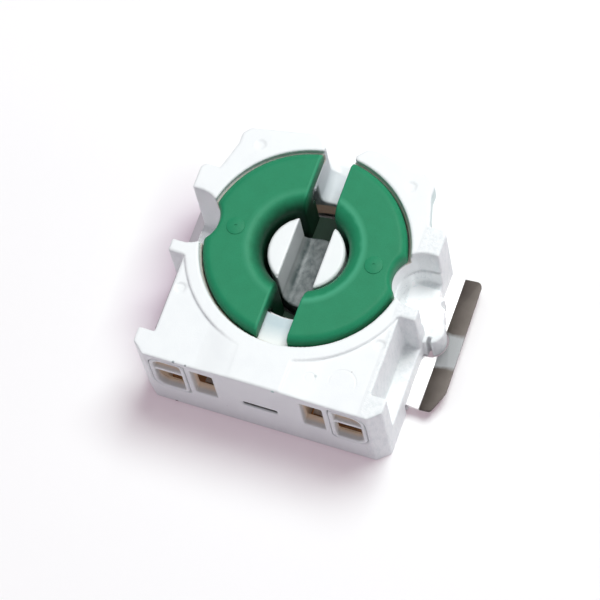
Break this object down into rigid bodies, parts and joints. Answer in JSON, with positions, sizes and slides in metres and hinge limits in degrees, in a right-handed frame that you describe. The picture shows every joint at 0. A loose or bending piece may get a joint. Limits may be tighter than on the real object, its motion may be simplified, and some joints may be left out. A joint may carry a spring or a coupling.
{
  "type": "fluorescent tube lamp holder",
  "caption": "Rotary bi-pin lamp holder: white moulded housing, green turning rotor over a slotted centre guide, push-in wire entries and a steel mounting plate with snap wings",
  "frame": {"origin": "on the rotor's axis, in the plane of the back cover's outer face", "axes": "+Z out of the lamp face along the rotor's axis, +Y towards the insertion mouth, +X across the terminal face"},
  "size_m": [0.0359, 0.032, 0.0146],
  "materials": {
    "white_plastic": "white moulded plastic, fine matt grain",
    "green_plastic": "green moulded plastic, satin",
    "bright_steel": "bright rolled steel sheet",
    "bronze": "dull bronze strip",
    "spring_steel": "dull spring steel",
    "grey_film": "matt grey pressed insulation"
  },
  "bodies": {
    "housing": {"front_housing": "white_plastic", "back_cover": "white_plastic", "centre_guide": "white_plastic", "insulating_plate": "grey_film", "mounting_plate": "bright_steel", "contact_spring_left": "bronze", "contact_spring_right": "bronze", "terminal_bar_left": "bronze", "terminal_bar_right": "bronze", "clamp_spring_left_outer": "spring_steel", "clamp_spring_left_inner": "spring_steel", "clamp_spring_right_outer": "spring_steel", "clamp_spring_right_inner": "spring_steel", "wire_funnel_left": "white_plastic", "wire_funnel_right": "white_plastic", "cover_rivet_far_left": "bright_steel", "cover_rivet_far_right": "bright_steel", "cover_rivet_near_left": "bright_steel", "cover_rivet_near_right": "bright_steel"},
    "rotor": {"rotor": "green_plastic", "rotor_retaining_ring": "spring_steel"}
  },
  "joints": [
    {"name": "rotor_turn", "type": "hinge", "parent": "housing", "child": "rotor", "pos_m": [0, 0, 0], "axis": [0, 0, 1], "range_deg": [-90, 90]}
  ]
}
